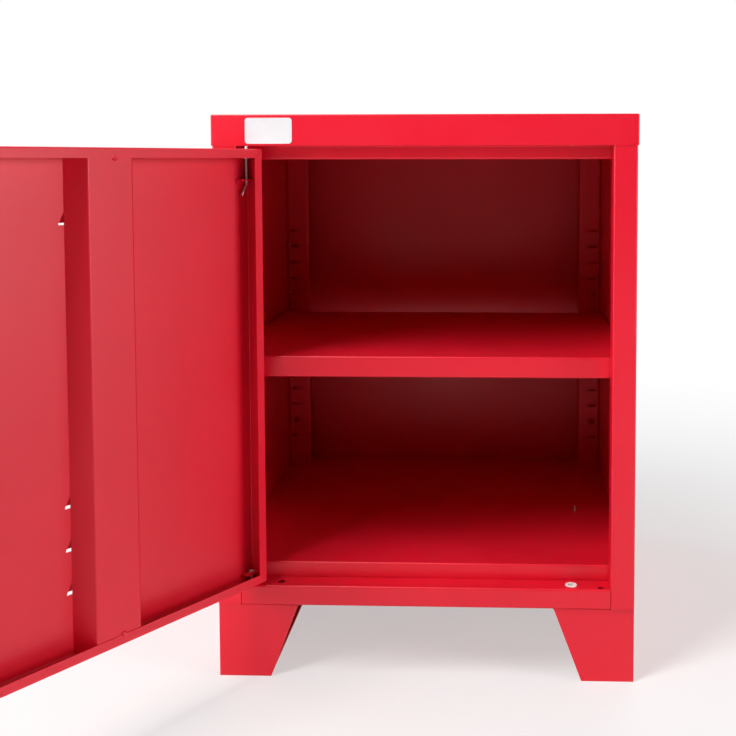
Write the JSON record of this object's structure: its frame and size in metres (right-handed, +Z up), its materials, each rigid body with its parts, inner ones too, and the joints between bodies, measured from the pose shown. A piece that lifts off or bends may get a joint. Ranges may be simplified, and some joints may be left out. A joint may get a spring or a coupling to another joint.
{
  "type": "hinged door tool cabinet",
  "caption": "Low steel tool cabinet with a hinged louvred door, three-way lock rods, an adjustable shelf and a base open for forks.",
  "frame": {"origin": "on the ground, at the centre of the four floor anchor holes", "axes": "+Z up, the door's front face looks along -Y, +X to the right as seen from the front"},
  "size_m": [0.7816, 1.0125, 0.76],
  "materials": {
    "red_paint": "satin powder coat",
    "zinc_steel": "bright zinc plate",
    "spring_steel": "dark oiled wire",
    "white_nylon": "moulded nylon",
    "label_white": "gloss, blank",
    "black_plastic": "fine grained moulding",
    "chromed_lock": "chromed, with a keyway"
  },
  "bodies": {
    "cabinet": {"side_left": "red_paint", "side_right": "red_paint", "back_panel": "red_paint", "top_cap": "red_paint", "cap_cleat": "red_paint", "header_rail": "red_paint", "bottom_rail": "red_paint", "floor_panel": "red_paint", "floor_dimples": "red_paint", "bottom_panel": "red_paint", "upright_rear_right": "red_paint", "upright_rear_left": "red_paint", "upright_front_left": "red_paint", "upright_front_right": "red_paint", "shelf": "red_paint", "shelf_rib": "red_paint", "runner_left": "red_paint", "runner_right": "red_paint", "end_plate_front_left": "red_paint", "end_plate_front_right": "red_paint", "end_plate_rear_left": "red_paint", "end_plate_rear_right": "red_paint", "back_rivets": "zinc_steel", "cap_screws": "zinc_steel", "shelf_clips": "zinc_steel", "base_bolts": "zinc_steel", "base_nuts": "zinc_steel", "floor_stud": "zinc_steel", "rod_socket_top": "white_nylon", "rod_socket_bottom": "white_nylon", "hinge_bush_top": "white_nylon", "hinge_bush_bottom": "white_nylon", "label_plate": "label_white"},
    "door": {"door_pan": "red_paint", "door_stiffener": "red_paint", "stiffener_welds": "red_paint", "hinge_bracket_top": "red_paint", "hinge_bracket_bottom": "red_paint", "hinge_pin_bottom": "zinc_steel", "hinge_spring": "spring_steel", "handle_plate": "black_plastic", "lock_nut": "zinc_steel", "plate_screws": "zinc_steel", "rod_guide_upper": "zinc_steel", "rod_guide_lower": "zinc_steel"},
    "hinge_pin": {"hinge_pin_top": "zinc_steel"},
    "handle": {"handle": "black_plastic", "cam_plate": "zinc_steel"},
    "key_cylinder": {"lock_cylinder": "chromed_lock"},
    "rod_upper": {"lock_rod_upper": "zinc_steel"},
    "rod_lower": {"lock_rod_lower": "zinc_steel"}
  },
  "joints": [
    {"name": "door_hinge", "type": "hinge", "parent": "cabinet", "child": "door", "pos_m": [-0.2357, -0.2935, 0.423], "axis": [0, 0, 1], "range_deg": [-5, 122.3]},
    {"name": "handle_turn", "type": "hinge", "parent": "door", "child": "handle", "pos_m": [-0.47214, -0.65535, 0.4225], "axis": [-0.8453, 0.5344, 0], "range_deg": [0, 90]},
    {"name": "key_turn", "type": "hinge", "parent": "handle", "child": "key_cylinder", "pos_m": [-0.47214, -0.65535, 0.4225], "axis": [-0.8453, 0.5344, 0], "range_deg": [0, 90]},
    {"name": "upper_rod_slide", "type": "slide", "parent": "door", "child": "rod_upper", "axis": [0, 0, 1], "range_m": [0, 0.017]},
    {"name": "lower_rod_slide", "type": "slide", "parent": "door", "child": "rod_lower", "axis": [0, 0, -1], "range_m": [0, 0.017]},
    {"name": "hinge_pin_pull", "type": "slide", "parent": "door", "child": "hinge_pin", "axis": [0, 0, 1], "range_m": [-0.012, 0], "stiffness_N_per_m": 500, "deforming": ["hinge_spring"]}
  ],
  "couplings": [
    {"joint": "upper_rod_slide", "follows": "handle_turn", "m_per_rad": 0.010804},
    {"joint": "lower_rod_slide", "follows": "handle_turn", "m_per_rad": 0.010804}
  ]
}
